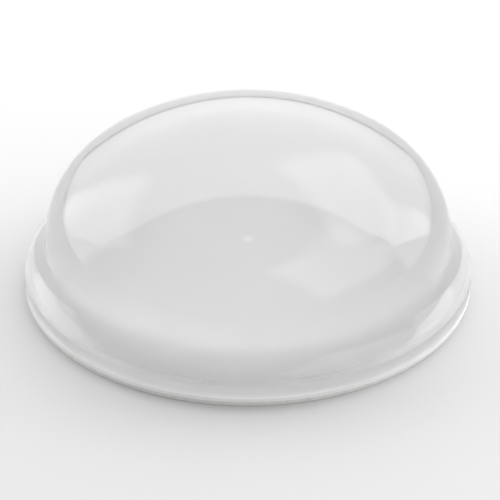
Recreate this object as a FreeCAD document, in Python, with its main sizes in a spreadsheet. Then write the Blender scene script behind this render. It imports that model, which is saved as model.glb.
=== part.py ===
"""Clear stick-on bumper foot: a moulded dome on a thin flange, its adhesive and its release liner.

Millimetres, +Z up. The origin is the centre of the liner's underside, and Z is the axis of
symmetry. The three pieces are stacked face to face and cut to one outline.
"""

import FreeCAD, Part
import math
import os

import Sketcher

DRIVING_SIZES = (
    ("rim_diameter", 9.5, "outline that all three layers are cut to"),
    ("body_height", 3.6, "dome with its flange, without adhesive or liner"),
    ("web_thickness", 0.26, "sheet that the dome is cast on, before the flare thickens it"),
    ("flange_width", 0.41, "from the cut edge to the foot of the wall, on plan"),
    ("wall_draft", 3.5, "degrees that the wall leans in"),
    ("crown_rise", 1.725, "apex above the line where crown and wall would meet"),
    ("shoulder_radius", 1.88, "round between wall and crown"),
    ("flare_radius", 0.70, "hollow round between web and wall, which the cut edge stops short"),
    ("wall_left", 0.02, "least straight wall left between flare and shoulder"),
    ("web_margin", 0.50, "web outside the flare, which die cutting takes away"),
    ("dimple_diameter", 0.06, "moulding dimple in the centre of the underside"),
    ("dimple_depth", 0.01, "how far the dimple goes in"),
    ("adhesive_thickness", 0.08, "adhesive film"),
    ("liner_thickness", 0.08, "release liner"),
)

# What follows from the driving sizes. Heights are above the underside of the dome.
DERIVED_SIZES = (
    ("rim_radius", "=rim_diameter / 2"),
    ("foot_radius", "=rim_radius - flange_width"),
    # The crown meets the drafted wall at a corner, which the shoulder rounds off.
    ("corner_height", "=body_height - crown_rise"),
    ("corner_radius", "=foot_radius - (corner_height - web_thickness) * tan(wall_draft * 1deg)"),
    ("crown_radius", "=(corner_radius ^ 2 + crown_rise ^ 2) / (2 * crown_rise)"),
    ("crown_centre", "=body_height - crown_radius"),
    # The flare touches web and wall at flare_reach from the wall's foot.
    ("flare_reach", "=flare_radius * tan((90 - wall_draft) / 2 * 1deg)"),
    ("web_radius", "=max(foot_radius + flare_reach; rim_radius) + web_margin"),
    ("cut_height", "=web_thickness + flare_radius"),
    # The largest shoulder touches the wall at a low point, just above the flare.
    ("low_point_rise", "=flare_reach + wall_left"),
    ("low_point_radius", "=foot_radius - low_point_rise * sin(wall_draft * 1deg)"),
    ("low_point_height", "=web_thickness + low_point_rise * cos(wall_draft * 1deg) - crown_centre"),
    ("low_point_depth", "=low_point_radius * cos(wall_draft * 1deg)"
                        " + low_point_height * sin(wall_draft * 1deg)"),
    ("shoulder_limit", "=(crown_radius ^ 2 - low_point_radius ^ 2 - low_point_height ^ 2)"
                       " / (2 * (crown_radius - low_point_depth))"),
    ("shoulder_fitted", "=min(shoulder_radius; shoulder_limit)"),
    ("dimple_radius", "=dimple_diameter / 2"),
    ("dimple_sphere", "=(dimple_radius ^ 2 + dimple_depth ^ 2) / (2 * dimple_depth)"),
    # Each layer stands on the one below.
    ("liner_base", "=0"),
    ("adhesive_base", "=liner_base + liner_thickness"),
    ("dome_base", "=adhesive_base + adhesive_thickness"),
)

FULL_TURN = 360
MATCH_TOLERANCE = 1e-4


def make_sheet(doc):
    """Driving sizes as plain numbers and derived ones as formulas, each with its alias."""
    sheet = doc.addObject("Spreadsheet::Sheet", "Sizes")
    rows = [(name, str(value), note) for name, value, note in DRIVING_SIZES]
    rows += [(name, formula, "derived") for name, formula in DERIVED_SIZES]
    for row, (name, content, note) in enumerate(rows, start=1):
        sheet.set(f"A{row}", name)
        sheet.set(f"B{row}", content)
        sheet.set(f"C{row}", note)
        sheet.setAlias(f"B{row}", name)
    doc.recompute()
    return sheet


def make_body(doc, label, base_cell):
    """An empty body that stands at the height in base_cell."""
    body = doc.addObject("PartDesign::Body", label)
    body.Label = label
    body.setExpression(".Placement.Base.z", f"Sizes.{base_cell}")
    return body


def make_sketch(body, name, plane_role, geometry):
    """A sketch of the given curves on one of the body's own origin planes."""
    sketch = body.newObject("Sketcher::SketchObject", name)
    plane = next(item for item in body.Origin.OriginFeatures if item.Role == plane_role)
    sketch.AttachmentSupport = (plane, [""])
    sketch.MapMode = "FlatFace"
    sketch.addGeometry(list(geometry), False)
    return sketch


def join_ends(sketch, curve_count):
    """Close a loop of curves: the end of each is the start of the next."""
    for curve in range(curve_count):
        following = (curve + 1) % curve_count
        sketch.addConstraint(Sketcher.Constraint("Coincident", curve, 2, following, 1))


def bind_size(sketch, cell, *arguments):
    """Add a constraint of the kind and geometry in arguments, and bind its value to a cell."""
    index = sketch.addConstraint(Sketcher.Constraint(*arguments))
    sketch.setExpression(f"Constraints[{index}]", f"Sizes.{cell}")


def line(start, end):
    return Part.LineSegment(FreeCAD.Vector(*start, 0), FreeCAD.Vector(*end, 0))


def arc_to_axis(start, apex_height, centre_height):
    """An arc about a point on the axis, from start round to the axis at apex_height."""
    radius = apex_height - centre_height
    circle = Part.Circle(FreeCAD.Vector(0, centre_height, 0), FreeCAD.Vector(0, 0, 1), radius)
    start_angle = math.atan2(start[1] - centre_height, start[0])
    return Part.ArcOfCircle(circle, start_angle, math.pi / 2)


def dome_profile(body, sheet):
    """Half section as cast, with sharp corners: underside, web, drafted wall and crown."""
    axis_foot = (0, 0)
    web_foot = (sheet.web_radius, 0)
    web_top = (sheet.web_radius, sheet.web_thickness)
    wall_foot = (sheet.foot_radius, sheet.web_thickness)
    corner = (sheet.corner_radius, sheet.corner_height)
    apex = (0, sheet.body_height)
    sketch = make_sketch(body, "dome_profile", "XZ_Plane", (
        line(axis_foot, web_foot),
        line(web_foot, web_top),
        line(web_top, wall_foot),
        line(wall_foot, corner),
        arc_to_axis(corner, sheet.body_height, sheet.crown_centre),
        line(apex, axis_foot),
    ))
    underside, web_edge, web, wall, crown, axis = range(6)
    join_ends(sketch, 6)
    sketch.addConstraint(Sketcher.Constraint("Coincident", underside, 1, -1, 1))
    sketch.addConstraint(Sketcher.Constraint("Horizontal", underside))
    sketch.addConstraint(Sketcher.Constraint("Vertical", web_edge))
    sketch.addConstraint(Sketcher.Constraint("Horizontal", web))
    sketch.addConstraint(Sketcher.Constraint("Vertical", axis))
    sketch.addConstraint(Sketcher.Constraint("PointOnObject", crown, 3, -2))
    bind_size(sketch, "web_radius", "DistanceX", underside, 1, underside, 2, sheet.web_radius)
    bind_size(sketch, "web_thickness", "DistanceY", web_edge, 1, web_edge, 2,
              sheet.web_thickness)
    bind_size(sketch, "foot_radius", "DistanceX", -1, 1, wall, 1, sheet.foot_radius)
    bind_size(sketch, "corner_radius", "DistanceX", -1, 1, wall, 2, sheet.corner_radius)
    bind_size(sketch, "corner_height", "DistanceY", -1, 1, wall, 2, sheet.corner_height)
    bind_size(sketch, "body_height", "DistanceY", axis, 2, axis, 1, sheet.body_height)
    return sketch


def die_cut_profile(body, sheet):
    """Half section of what die cutting takes away: everything outside the rim."""
    inner_foot = (sheet.rim_radius, 0)
    outer_foot = (sheet.web_radius, 0)
    outer_top = (sheet.web_radius, sheet.cut_height)
    inner_top = (sheet.rim_radius, sheet.cut_height)
    sketch = make_sketch(body, "die_cut_profile", "XZ_Plane", (
        line(inner_foot, outer_foot),
        line(outer_foot, outer_top),
        line(outer_top, inner_top),
        line(inner_top, inner_foot),
    ))
    bottom, outer, top, inner = range(4)
    join_ends(sketch, 4)
    sketch.addConstraint(Sketcher.Constraint("Horizontal", bottom))
    sketch.addConstraint(Sketcher.Constraint("Vertical", outer))
    sketch.addConstraint(Sketcher.Constraint("Horizontal", top))
    sketch.addConstraint(Sketcher.Constraint("Vertical", inner))
    sketch.addConstraint(Sketcher.Constraint("PointOnObject", bottom, 1, -1))
    bind_size(sketch, "rim_radius", "DistanceX", -1, 1, bottom, 1, sheet.rim_radius)
    bind_size(sketch, "web_radius", "DistanceX", -1, 1, bottom, 2, sheet.web_radius)
    bind_size(sketch, "cut_height", "DistanceY", outer, 1, outer, 2, sheet.cut_height)
    return sketch


def dimple_profile(body, sheet):
    """Half section of the dimple: a shallow spherical cap, flat side down."""
    rim = (sheet.dimple_radius, 0)
    top = (0, sheet.dimple_depth)
    centre_height = sheet.dimple_depth - sheet.dimple_sphere
    sketch = make_sketch(body, "dimple_profile", "XZ_Plane", (
        line((0, 0), rim),
        arc_to_axis(rim, sheet.dimple_depth, centre_height),
        line(top, (0, 0)),
    ))
    mouth, cap, axis = range(3)
    join_ends(sketch, 3)
    sketch.addConstraint(Sketcher.Constraint("Coincident", mouth, 1, -1, 1))
    sketch.addConstraint(Sketcher.Constraint("Horizontal", mouth))
    sketch.addConstraint(Sketcher.Constraint("Vertical", axis))
    sketch.addConstraint(Sketcher.Constraint("PointOnObject", cap, 3, -2))
    bind_size(sketch, "dimple_radius", "DistanceX", mouth, 1, mouth, 2, sheet.dimple_radius)
    bind_size(sketch, "dimple_depth", "DistanceY", axis, 2, axis, 1, sheet.dimple_depth)
    return sketch


def turn_about_axis(body, kind, name, sketch):
    """A Revolution or Groove of the sketch, a full turn about the body's Z axis."""
    feature = body.newObject(f"PartDesign::{kind}", name)
    feature.Profile = sketch
    feature.ReferenceAxis = (sketch, ["V_Axis"])
    feature.Angle = FULL_TURN
    body.Document.recompute()
    return feature


def ring_edge(shape, radius, height):
    """Name of the circular edge about Z with this radius, at this height."""
    for number, edge in enumerate(shape.Edges, start=1):
        curve = edge.Curve
        if not isinstance(curve, Part.Circle):
            continue
        radius_matches = abs(curve.Radius - radius) < MATCH_TOLERANCE
        height_matches = abs(curve.Center.z - height) < MATCH_TOLERANCE
        if radius_matches and height_matches:
            return f"Edge{number}"
    raise RuntimeError(f"no ring of radius {radius:.3f} at height {height:.3f}")


def round_ring(body, name, radius, height, fillet_cell):
    """Fillet the ring of the body's last feature that lies at this radius and height."""
    base = body.Tip
    fillet = body.newObject("PartDesign::Fillet", name)
    fillet.Base = (base, [ring_edge(base.Shape, radius, height)])
    fillet.setExpression("Radius", f"Sizes.{fillet_cell}")
    body.Document.recompute()
    return fillet


def expect(volume_changed, what):
    if not volume_changed:
        raise RuntimeError(f"the {what} changes nothing, or the wrong way")


def make_dome(doc, sheet):
    """The clear moulding: cast dome on its web, flare, shoulder, die-cut rim and dimple."""
    body = make_body(doc, "bumper_dome", "dome_base")
    turned = turn_about_axis(body, "Revolution", "dome_turned", dome_profile(body, sheet))
    flared = round_ring(body, "flare", sheet.foot_radius, sheet.web_thickness, "flare_radius")
    rounded = round_ring(body, "shoulder", sheet.corner_radius, sheet.corner_height,
                         "shoulder_fitted")
    cut = turn_about_axis(body, "Groove", "die_cut", die_cut_profile(body, sheet))
    dimpled = turn_about_axis(body, "Groove", "dimple", dimple_profile(body, sheet))
    expect(flared.Shape.Volume > turned.Shape.Volume, "flare")
    expect(rounded.Shape.Volume < flared.Shape.Volume, "shoulder")
    expect(cut.Shape.Volume < rounded.Shape.Volume, "die cut")
    expect(dimpled.Shape.Volume < cut.Shape.Volume, "dimple")
    return body


def make_layer(doc, sheet, label, thickness_cell, base_cell):
    """A flat round layer, cut to the outline of the rim."""
    body = make_body(doc, label, base_cell)
    outline = Part.Circle(FreeCAD.Vector(0, 0, 0), FreeCAD.Vector(0, 0, 1), sheet.rim_radius)
    sketch = make_sketch(body, f"{label}_outline", "XY_Plane", (outline,))
    sketch.addConstraint(Sketcher.Constraint("Coincident", 0, 3, -1, 1))
    bind_size(sketch, "rim_radius", "Radius", 0, sheet.rim_radius)
    pad = body.newObject("PartDesign::Pad", f"{label}_pad")
    pad.Profile = sketch
    pad.setExpression("Length", f"Sizes.{thickness_cell}")
    doc.recompute()
    return body


def check_document(doc, bodies):
    """Stop if anything failed to compute, or a piece isn't one sound solid."""
    for item in doc.Objects:
        if "Invalid" in item.State or "Error" in item.State:
            raise RuntimeError(f"{item.Name} failed: {item.State}")
    for body in bodies:
        if body.Shape.isNull() or not body.Shape.isValid() or len(body.Shape.Solids) != 1:
            raise RuntimeError(f"{body.Label} isn't one valid solid")


def main():
    doc = FreeCAD.newDocument("bumper_foot")
    sheet = make_sheet(doc)
    bodies = (
        make_dome(doc, sheet),
        make_layer(doc, sheet, "adhesive_film", "adhesive_thickness", "adhesive_base"),
        make_layer(doc, sheet, "release_liner", "liner_thickness", "liner_base"),
    )
    doc.recompute()
    check_document(doc, bodies)
    os.makedirs("parts", exist_ok=True)
    for body in bodies:
        body.Shape.exportStep(f"parts/{body.Label}.step")
        box = body.Shape.BoundBox
        print(f"{body.Label}: {body.Shape.Volume:.3f} mm3, z {box.ZMin:.3f} to {box.ZMax:.3f}")


main()
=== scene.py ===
"""Clear stick-on bumper foot: a glossy elastic dome, its milky adhesive and its paper liner.

Every piece is a turned shape: a half section, swept once round the axis. Sizes are in metres.
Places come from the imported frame, and the few section sizes that it doesn't hold are named here.
"""

import math

import bpy
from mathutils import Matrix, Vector

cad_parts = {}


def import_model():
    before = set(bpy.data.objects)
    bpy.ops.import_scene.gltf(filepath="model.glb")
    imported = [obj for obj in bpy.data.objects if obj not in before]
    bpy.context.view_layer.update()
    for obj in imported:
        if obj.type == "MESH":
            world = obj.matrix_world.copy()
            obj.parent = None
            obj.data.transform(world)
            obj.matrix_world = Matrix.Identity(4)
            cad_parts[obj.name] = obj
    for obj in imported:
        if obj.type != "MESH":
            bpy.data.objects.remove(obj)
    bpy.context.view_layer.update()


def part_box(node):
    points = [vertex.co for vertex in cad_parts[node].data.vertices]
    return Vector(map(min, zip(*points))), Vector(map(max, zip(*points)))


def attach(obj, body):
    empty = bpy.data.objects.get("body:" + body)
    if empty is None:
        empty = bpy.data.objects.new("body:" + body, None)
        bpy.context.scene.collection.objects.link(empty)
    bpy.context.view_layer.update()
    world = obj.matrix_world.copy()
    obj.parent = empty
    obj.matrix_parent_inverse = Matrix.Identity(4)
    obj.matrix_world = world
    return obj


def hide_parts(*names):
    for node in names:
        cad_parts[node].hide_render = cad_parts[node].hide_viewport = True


MM = 0.001

# Section of the dome, as moulded
WEB_THICKNESS = 0.26 * MM
FLANGE_WIDTH = 0.41 * MM
WALL_DRAFT = math.radians(3.5)
CROWN_RISE = 1.725 * MM
SHOULDER_RADIUS = 1.88 * MM
FLARE_RADIUS = 0.70 * MM
DIMPLE_RADIUS = 0.03 * MM
DIMPLE_DEPTH = 0.01 * MM
# Fine edges that a cut leaves, and how far the film stops short of the dome's rim
CUT_EDGE_ROUND = 0.012 * MM
FILM_SETBACK = 0.01 * MM
# The adhesive has no air over it: it reaches this far into the dome.
WETTING = 0.012 * MM

TURN_STEPS = 288
ARC_STEP = math.radians(2.0)
CLOSING_DISTANCE = 0.0005 * MM
# Where a flat disc gets rings of points, as shares of its radius
FLAT_STOPS = (0.25, 0.5, 0.75)

# Noise values lie mostly in this range, and colours blend over the narrower one.
NOISE_RANGE = (0.3, 0.72)
COLOUR_RANGE = (0.3, 0.7)
POLYURETHANE_INDEX = 1.5

# The studio, in units of the rim's radius, and degrees
FLOOR_REACH = 200
FLOOR_DROP = 0.001 * MM
PANEL_DISTANCE = 12
LIT_POINT = (0, 0, 0.3)
CAMERA_TARGET = (0.008, 0, 0.149)
CAMERA_DISTANCE = 12
CAMERA_ELEVATION = 32.5
CAMERA_LENS = 191.6


# ---------------------------------------------------------------- sections

def arc(centre, radius, start, end, step=ARC_STEP):
    """Points of a circular arc in the (radius, height) plane, from start to end angle."""
    count = max(2, math.ceil(abs(end - start) / step))
    angles = [start + (end - start) * k / count for k in range(count + 1)]
    return [(centre[0] + radius * math.cos(a), centre[1] + radius * math.sin(a)) for a in angles]


def dome_section(low, high):
    """Half section of the dome, from the axis at the underside round to the apex."""
    rim = high.x
    base = low.z
    web_top = base + WEB_THICKNESS
    foot = rim - FLANGE_WIDTH

    dimple_sphere = (DIMPLE_RADIUS ** 2 + DIMPLE_DEPTH ** 2) / (2 * DIMPLE_DEPTH)
    dimple_centre = (0, base + DIMPLE_DEPTH - dimple_sphere)
    dimple_end = math.atan2(base - dimple_centre[1], DIMPLE_RADIUS)

    # Flare, touching the web and the wall, as far as the cut edge
    flare_reach = FLARE_RADIUS * math.tan((math.pi / 2 - WALL_DRAFT) / 2)
    flare_centre = (foot + flare_reach, web_top + FLARE_RADIUS)
    flare_start = -math.acos((rim - flare_centre[0]) / FLARE_RADIUS)
    edge_top = flare_centre[1] + FLARE_RADIUS * math.sin(flare_start)

    # Crown circle, through the apex and through the corner where it meets the drafted wall
    corner_height = high.z - CROWN_RISE
    corner = foot - (corner_height - web_top) * math.tan(WALL_DRAFT)
    crown_radius = (corner ** 2 + CROWN_RISE ** 2) / (2 * CROWN_RISE)
    crown_centre = Vector((0, high.z - crown_radius))

    # Shoulder circle, touching the wall from inside and the crown circle
    inward = Vector((-math.cos(WALL_DRAFT), -math.sin(WALL_DRAFT)))
    upward = Vector((-math.sin(WALL_DRAFT), math.cos(WALL_DRAFT)))
    start = Vector((foot, web_top)) + inward * SHOULDER_RADIUS - crown_centre
    along = start.dot(upward)
    reach = crown_radius - SHOULDER_RADIUS
    travel = -along + math.sqrt(along ** 2 - start.length_squared + reach ** 2)
    from_crown = start + upward * travel
    shoulder_end = math.atan2(from_crown.y, from_crown.x)

    section = arc(dimple_centre, dimple_sphere, math.pi / 2, dimple_end, math.radians(10))
    section += [(rim * share, base) for share in FLAT_STOPS]
    section += cut_wall(rim, base, edge_top)[:-1]
    section += arc(flare_centre, FLARE_RADIUS, flare_start, -math.pi + WALL_DRAFT)[1:]
    section += arc(crown_centre + from_crown, SHOULDER_RADIUS, WALL_DRAFT, shoulder_end)
    section += arc(crown_centre, crown_radius, shoulder_end, math.pi / 2, ARC_STEP / 2)[1:]
    return section


def cut_wall(rim, bottom, top):
    """Points up an upright cut edge, its two corners just off sharp."""
    inner = rim - CUT_EDGE_ROUND
    fine = math.radians(15)
    lower = arc((inner, bottom + CUT_EDGE_ROUND), CUT_EDGE_ROUND, -math.pi / 2, 0, fine)
    upper = arc((inner, top - CUT_EDGE_ROUND), CUT_EDGE_ROUND, 0, math.pi / 2, fine)
    near = 2 * CUT_EDGE_ROUND
    return [(rim - near, bottom)] + lower + [(rim, bottom + near), (rim, top - near)] + upper


def layer_section(low, high, setback, rise=0.0):
    """Half section of a flat layer: underside, cut edge, upper side."""
    rim = high.x - setback
    bottom = low.z
    top = high.z + rise
    section = [(0, bottom)] + [(rim * share, bottom) for share in FLAT_STOPS]
    section += cut_wall(rim, bottom, top)
    section += [(rim - 2 * CUT_EDGE_ROUND, top)]
    section += [(rim * share, top) for share in reversed(FLAT_STOPS)] + [(0, top)]
    return section


# ---------------------------------------------------------------- turning

def turning_tree():
    """Geometry nodes that sweep a half section round the rim circle and close it on the axis."""
    tree = bpy.data.node_groups.new("turned_shape", "GeometryNodeTree")
    face = tree.interface
    face.new_socket("Geometry", in_out="INPUT", socket_type="NodeSocketGeometry")
    face.new_socket("Rim radius", in_out="INPUT", socket_type="NodeSocketFloat")
    face.new_socket("Steps", in_out="INPUT", socket_type="NodeSocketInt")
    face.new_socket("Closing distance", in_out="INPUT", socket_type="NodeSocketFloat")
    face.new_socket("Material", in_out="INPUT", socket_type="NodeSocketMaterial")
    face.new_socket("Geometry", in_out="OUTPUT", socket_type="NodeSocketGeometry")

    nodes = tree.nodes
    inputs = nodes.new("NodeGroupInput")
    path = nodes.new("GeometryNodeCurvePrimitiveCircle")
    upright = nodes.new("GeometryNodeSetCurveNormal")
    upright.mode = "Z_UP"
    sweep = nodes.new("GeometryNodeCurveToMesh")
    close = nodes.new("GeometryNodeMergeByDistance")
    outward = nodes.new("GeometryNodeFlipFaces")
    smooth = nodes.new("GeometryNodeSetShadeSmooth")
    realize = nodes.new("GeometryNodeRealizeInstances")
    finish = nodes.new("GeometryNodeSetMaterial")
    output = nodes.new("NodeGroupOutput")

    link = tree.links.new
    link(inputs.outputs["Rim radius"], path.inputs["Radius"])
    link(inputs.outputs["Steps"], path.inputs["Resolution"])
    link(path.outputs["Curve"], upright.inputs["Curve"])
    link(upright.outputs["Curve"], sweep.inputs["Curve"])
    link(inputs.outputs["Geometry"], sweep.inputs["Profile Curve"])
    link(sweep.outputs["Mesh"], close.inputs["Geometry"])
    link(inputs.outputs["Closing distance"], close.inputs["Distance"])
    link(close.outputs["Geometry"], outward.inputs["Mesh"])
    link(outward.outputs["Mesh"], smooth.inputs["Geometry"])
    link(smooth.outputs["Geometry"], realize.inputs["Geometry"])
    link(realize.outputs["Geometry"], finish.inputs["Geometry"])
    link(inputs.outputs["Material"], finish.inputs["Material"])
    link(finish.outputs["Geometry"], output.inputs["Geometry"])
    return tree


def set_input(modifier, name, value):
    """Set a named input of a geometry nodes modifier."""
    for item in modifier.node_group.interface.items_tree:
        if item.item_type == "SOCKET" and item.in_out == "INPUT" and item.name == name:
            modifier[item.identifier] = value


def turn(name, section, rim, material, tree):
    """Make a piece by turning a half section about the Z axis."""
    curve = bpy.data.curves.new(name + "_section", "CURVE")
    curve.dimensions = "3D"
    spline = curve.splines.new("POLY")
    spline.points.add(len(section) - 1)
    for point, (radius, height) in zip(spline.points, section):
        point.co = (radius - rim, -height, 0, 1)
    lathe = bpy.data.objects.new(name + "_lathe", curve)
    bpy.context.scene.collection.objects.link(lathe)
    modifier = lathe.modifiers.new("turned_shape", "NODES")
    modifier.node_group = tree
    set_input(modifier, "Rim radius", rim)
    set_input(modifier, "Steps", TURN_STEPS)
    set_input(modifier, "Closing distance", CLOSING_DISTANCE)
    set_input(modifier, "Material", material)
    graph = bpy.context.evaluated_depsgraph_get()
    mesh = bpy.data.meshes.new_from_object(lathe.evaluated_get(graph))
    bpy.data.objects.remove(lathe)
    mesh.name = name
    piece = bpy.data.objects.new(name, mesh)
    bpy.context.scene.collection.objects.link(piece)
    return piece


# ---------------------------------------------------------------- materials

def new_material(name):
    """A node material with its shader, and a coordinate node that reads the piece's own space."""
    material = bpy.data.materials.new(name)
    material.use_nodes = True
    nodes = material.node_tree.nodes
    coordinates = nodes.new("ShaderNodeTexCoord")
    return material, nodes["Principled BSDF"], coordinates.outputs["Object"]


def add_noise(material, coordinates, per_mm, detail=4.0, roughness=0.55, stretch=(1, 1, 1)):
    """Noise with this many features in a millimetre. Stretch scales it along X, Y and Z."""
    nodes = material.node_tree.nodes
    link = material.node_tree.links.new
    mapping = nodes.new("ShaderNodeMapping")
    mapping.inputs["Scale"].default_value = stretch
    noise = nodes.new("ShaderNodeTexNoise")
    noise.inputs["Scale"].default_value = per_mm / MM
    noise.inputs["Detail"].default_value = detail
    noise.inputs["Roughness"].default_value = roughness
    link(coordinates, mapping.inputs["Vector"])
    link(mapping.outputs["Vector"], noise.inputs["Vector"])
    return noise.outputs["Fac"]


def noise_range(material, noise, low, high):
    """Spread a noise value over low to high."""
    return mapped(material, noise, NOISE_RANGE, (low, high), "LINEAR")


def mapped(holder, value, taken, given, way="SMOOTHSTEP"):
    """Map the taken range of a value onto the given range, and hold it beyond that."""
    node = holder.node_tree.nodes.new("ShaderNodeMapRange")
    node.interpolation_type = way
    node.inputs["From Min"].default_value = taken[0]
    node.inputs["From Max"].default_value = taken[1]
    node.inputs["To Min"].default_value = given[0]
    node.inputs["To Max"].default_value = given[1]
    holder.node_tree.links.new(value, node.inputs["Value"])
    return node.outputs["Result"]


def combined(holder, operation, first, second):
    """Put two values together by a maths operation."""
    node = holder.node_tree.nodes.new("ShaderNodeMath")
    node.operation = operation
    holder.node_tree.links.new(first, node.inputs[0])
    holder.node_tree.links.new(second, node.inputs[1])
    return node.outputs["Value"]


def axis_distance(holder, place):
    """Distance of each point from the axis that the dome is turned about."""
    nodes = holder.node_tree.nodes
    link = holder.node_tree.links.new
    flat = nodes.new("ShaderNodeVectorMath")
    flat.operation = "MULTIPLY"
    flat.inputs[1].default_value = (1, 1, 0)
    link(place, flat.inputs[0])
    radius = nodes.new("ShaderNodeVectorMath")
    radius.operation = "LENGTH"
    link(flat.outputs["Vector"], radius.inputs[0])
    return radius.outputs["Value"]


def add_colours(material, value, dark, light):
    """Blend two greys or colours by a noise value."""
    ramp = material.node_tree.nodes.new("ShaderNodeValToRGB")
    stops = ramp.color_ramp.elements
    for stop, position, colour in zip(stops, COLOUR_RANGE, (dark, light)):
        stop.position = position
        stop.color = (*colour, 1)
    material.node_tree.links.new(value, ramp.inputs["Fac"])
    return ramp.outputs["Color"]


def add_bump(material, height, depth, strength=1.0):
    """Relief of this depth in metres."""
    bump = material.node_tree.nodes.new("ShaderNodeBump")
    bump.inputs["Strength"].default_value = strength
    bump.inputs["Distance"].default_value = depth
    material.node_tree.links.new(height, bump.inputs["Height"])
    return bump.outputs["Normal"]


def clear_elastomer(rim):
    """Cast clear polyurethane: faintly wavy and glossy, with a frosted die-cut edge."""
    material, shader, place = new_material("clear_polyurethane")
    link = material.node_tree.links.new
    shader.inputs["Transmission Weight"].default_value = 1.0
    shader.inputs["IOR"].default_value = POLYURETHANE_INDEX
    tone = add_noise(material, place, 0.5)
    link(add_colours(material, tone, (0.975, 0.98, 0.98), (0.99, 0.99, 0.99)),
         shader.inputs["Base Color"])
    haze = add_noise(material, place, 0.8)
    frost = mapped(material, axis_distance(material, place), (0.96 * rim, rim), (0, 0.5))
    link(combined(material, "ADD", noise_range(material, haze, 0.03, 0.06), frost),
         shader.inputs["Roughness"])
    waves = add_noise(material, place, 0.35, detail=2.0)
    link(add_bump(material, waves, 0.004 * MM), shader.inputs["Normal"])
    return material


def milky_adhesive(rim):
    """Adhesive film: pale and milky and faintly mottled. Painted light makes it lighter towards its
    cut edge, and a painted highlight lightens its middle.
    """
    material, shader, place = new_material("milky_adhesive")
    link = material.node_tree.links.new
    mottle = add_noise(material, place, 0.45, detail=3.0)
    radius = axis_distance(material, place)
    # Stretches of radius, and how much painted light lifts the film's tone at the two ends of each. In
    # the middle, over the dimple, a painted highlight stands in for the dimple's reflection. Towards
    # the edge, painted light stands in for the shade near the rim, faster close to the cut.
    painted_light_stretches = (((0, 4 * DIMPLE_RADIUS), (0.09, 0)),
              ((0.5 * rim, rim), (0, 0.17)),
              ((0.95 * rim, rim), (0, 0.25)))
    tone = noise_range(material, mottle, 0.43, 0.46)
    # Add the painted highlight and the painted light at the edge to the film's tone
    for stretch, painted_lift in painted_light_stretches:
        tone = combined(material, "ADD", tone, mapped(material, radius, stretch, painted_lift))
    link(tone, shader.inputs["Base Color"])
    link(noise_range(material, mottle, 0.35, 0.5), shader.inputs["Roughness"])
    grain = add_noise(material, place, 9.0)
    link(add_bump(material, grain, 0.002 * MM, 0.3), shader.inputs["Normal"])
    return material


def liner_paper():
    """Release liner: bleached paper with short fibres under a smooth release coating."""
    material, shader, place = new_material("liner_paper")
    link = material.node_tree.links.new
    fibres = add_noise(material, place, 6.0, detail=6.0, stretch=(1, 0.35, 1))
    link(add_colours(material, fibres, (0.62, 0.615, 0.60), (0.70, 0.695, 0.68)),
         shader.inputs["Base Color"])
    link(noise_range(material, fibres, 0.45, 0.65), shader.inputs["Roughness"])
    link(add_bump(material, fibres, 0.004 * MM, 0.4), shader.inputs["Normal"])
    return material


def floor_finish():
    """Plain pale card, matt."""
    material, shader, place = new_material("white_card")
    link = material.node_tree.links.new
    tone = add_noise(material, place, 0.05, detail=2.0)
    link(add_colours(material, tone, (0.51, 0.51, 0.51), (0.52, 0.52, 0.52)),
         shader.inputs["Base Color"])
    shader.inputs["Roughness"].default_value = 0.8
    shader.inputs["Specular IOR Level"].default_value = 0.1
    return material


# ---------------------------------------------------------------- studio

def make_floor(height, reach):
    """A large plain card under the part."""
    mesh = bpy.data.meshes.new("floor")
    corners = [(-reach, -reach), (reach, -reach), (reach, reach), (-reach, reach)]
    mesh.from_pydata([(x, y, height) for x, y in corners], [], [(0, 1, 2, 3)])
    mesh.materials.append(floor_finish())
    floor = bpy.data.objects.new("floor", mesh)
    bpy.context.scene.collection.objects.link(floor)


def place_facing(item, where, target):
    """Put a lamp or a camera somewhere, looking at the target."""
    item.location = where
    item.rotation_mode = "QUATERNION"
    item.rotation_quaternion = (target - where).to_track_quat("-Z", "Y")


def light_panel(name, where, target, width, height, brightness, sides=(1, 1), ends=(1, 1),
                fade=0.12):
    """A soft panel light, where brightness 1 shows as plain white.

    Shares of that brightness, evenly spaced, grade it from side to side and from end to end.
    Fade is the share of its width and height over which each edge fades out.
    """
    light = bpy.data.lights.new(name, "AREA")
    light.shape = "RECTANGLE"
    light.size = width
    light.size_y = height
    light.energy = brightness * math.pi * width * height
    grade_light(light, sides, ends, fade)
    panel = bpy.data.objects.new(name, light)
    bpy.context.scene.collection.objects.link(panel)
    place_facing(panel, where, target)
    panel.visible_camera = False


def grade_light(light, sides, ends, fade):
    """Give a panel light its grading and its faded edges."""
    light.use_nodes = True
    nodes = light.node_tree.nodes
    link = light.node_tree.links.new
    place = nodes.new("ShaderNodeNewGeometry")
    split = nodes.new("ShaderNodeSeparateXYZ")
    link(place.outputs["Parametric"], split.inputs["Vector"])
    total = None
    for position, shares in ((split.outputs["X"], sides), (split.outputs["Y"], ends)):
        graded = add_ramp(light, position, shares)
        start = mapped(light, position, (0, fade), (0, 1))
        end = mapped(light, position, (1, 1 - fade), (0, 1))
        for share in (graded, start, end):
            total = combined(light, "MULTIPLY", total, share) if total else share
    link(total, nodes["Emission"].inputs["Strength"])


def add_ramp(holder, value, shares):
    """Pass a value from 0 to 1 through evenly spaced shares."""
    ramp = holder.node_tree.nodes.new("ShaderNodeValToRGB")
    stops = ramp.color_ramp.elements
    for _ in shares[2:]:
        stops.new(0.5)
    for k, share in enumerate(shares):
        stops[k].position = k / (len(shares) - 1)
        stops[k].color = (share, share, share, 1)
    holder.node_tree.links.new(value, ramp.inputs["Fac"])
    return ramp.outputs["Color"]


def direction(azimuth, elevation):
    """Unit vector: azimuth in degrees from +Y, the far side, towards +X; elevation above the floor."""
    turn_angle = math.radians(azimuth)
    rise = math.radians(elevation)
    return Vector((math.sin(turn_angle) * math.cos(rise),
                   math.cos(turn_angle) * math.cos(rise), math.sin(rise)))


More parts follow.
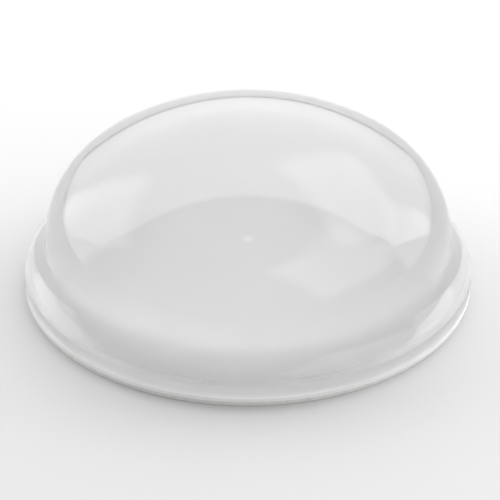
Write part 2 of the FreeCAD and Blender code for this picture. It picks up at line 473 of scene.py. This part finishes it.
def aimed_panel(name, azimuth, elevation, distance, wide, tall, brightness, centre, ends=(1, 1)):
    """A panel that faces the centre and spans wide by tall degrees, as seen from there."""
    width = 2 * distance * math.tan(math.radians(wide / 2))
    height = 2 * distance * math.tan(math.radians(tall / 2))
    where = centre + direction(azimuth, elevation) * distance
    light_panel(name, where, centre, width, height, brightness, ends=ends, fade=0.2)


def make_lights(unit, centre):
    """Soft panels round the part, placed in units of the rim's radius.

    Sides run from right to left, and ends from bottom to top.
    """
    # One sloping sheet of light, from the floor far behind to high over the part
    middle = Vector((0, 9.6, 7)) * unit
    light_panel("tent_panel", middle, middle - Vector((0, 14, 12.8)) * unit,
                60 * unit, 19 * unit, 2.7, sides=(0.8, 1, 0.3),
                ends=(0.36, 0.86, 1, 0.95, 0.7), fade=0.05)
    reach = PANEL_DISTANCE * unit
    aimed_panel("key_panel", 53, 48, reach, 50, 38, 1.1, centre)
    aimed_panel("left_panel", -65, 22, reach, 48, 58, 1.6, centre, ends=(1, 1, 0.8))
    aimed_panel("right_panel", 72, 18, reach, 40, 46, 1.5, centre, ends=(1, 1, 0.5))
    aimed_panel("front_panel", 117, 42, reach, 60, 60, 1.25, centre)

    world = bpy.data.worlds.new("studio")
    bpy.context.scene.world = world
    world.use_nodes = True
    background = world.node_tree.nodes["Background"]
    background.inputs["Color"].default_value = (1, 1, 1, 1)
    background.inputs["Strength"].default_value = 0.6


def make_camera(unit):
    """A long lens, looking down at the part from the front."""
    camera = bpy.data.cameras.new("camera")
    camera.sensor_width = 36
    camera.lens = CAMERA_LENS
    camera.clip_start = unit
    camera.clip_end = 1000 * unit
    holder = bpy.data.objects.new("camera", camera)
    bpy.context.scene.collection.objects.link(holder)
    where = direction(180, CAMERA_ELEVATION) * CAMERA_DISTANCE * unit
    place_facing(holder, where, Vector(CAMERA_TARGET) * unit)
    bpy.context.scene.camera = holder


# ---------------------------------------------------------------- the part

def main():
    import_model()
    tree = turning_tree()

    low, high = (Vector(corner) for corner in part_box("bumper_dome"))
    dome = turn("clear_dome", dome_section(low, high), high.x, clear_elastomer(high.x), tree)
    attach(dome, "bumper")
    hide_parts("bumper_dome")
    unit = high.x

    low, high = (Vector(corner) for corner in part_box("adhesive_film"))
    section = layer_section(low, high, FILM_SETBACK, WETTING)
    adhesive = turn("adhesive_layer", section, high.x, milky_adhesive(high.x), tree)
    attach(adhesive, "bumper")
    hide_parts("adhesive_film")

    low, high = (Vector(corner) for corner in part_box("release_liner"))
    section = layer_section(low, high, 0)
    liner = turn("paper_liner", section, high.x, liner_paper(), tree)
    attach(liner, "liner")
    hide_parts("release_liner")

    make_floor(-FLOOR_DROP, FLOOR_REACH * unit)
    make_lights(unit, Vector(LIT_POINT) * unit)
    make_camera(unit)
    bpy.context.scene.view_settings.view_transform = "Standard"


main()
